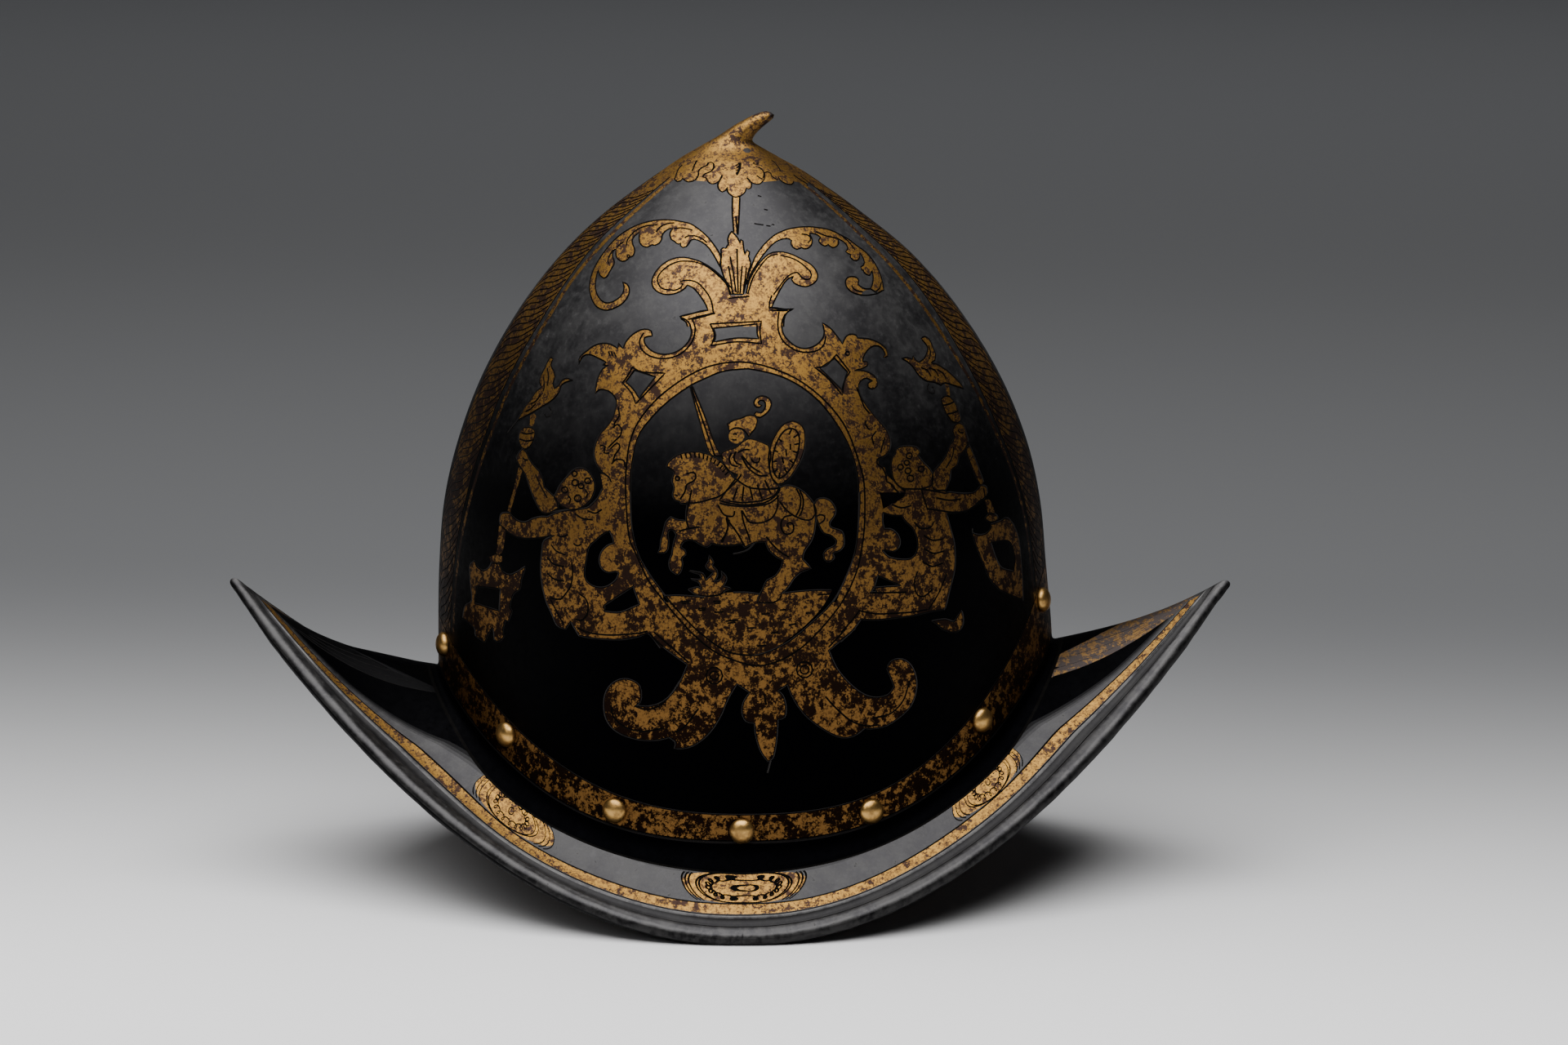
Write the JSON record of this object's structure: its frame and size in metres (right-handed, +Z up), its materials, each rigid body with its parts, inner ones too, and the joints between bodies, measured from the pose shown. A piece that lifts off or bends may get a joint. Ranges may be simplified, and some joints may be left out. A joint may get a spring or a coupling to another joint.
{
  "type": "morion helmet",
  "caption": "Steel morion helmet with a pointed almond-shaped skull, a short backward stalk, a boat-shaped brim with a turned edge, and a ring of domed lining rivets.",
  "frame": {"origin": "on the ground plane under the middle of the helmet's length and width, as it stands on its brim", "axes": "+Z up, -Y to the front of the helmet, +X to the wearer's left"},
  "size_m": [0.2378, 0.3596, 0.2756],
  "materials": {
    "blackened_steel": "satin",
    "brass": "satin"
  },
  "bodies": {
    "root": {"helmet_shell": "blackened_steel", "rivet_01": "brass", "rivet_02": "brass", "rivet_03": "brass", "rivet_04": "brass", "rivet_05": "brass", "rivet_06": "brass", "rivet_07": "brass", "rivet_08": "brass", "rivet_09": "brass", "rivet_10": "brass", "rivet_11": "brass", "rivet_12": "brass", "rivet_13": "brass", "rivet_14": "brass"}
  },
  "joints": []
}
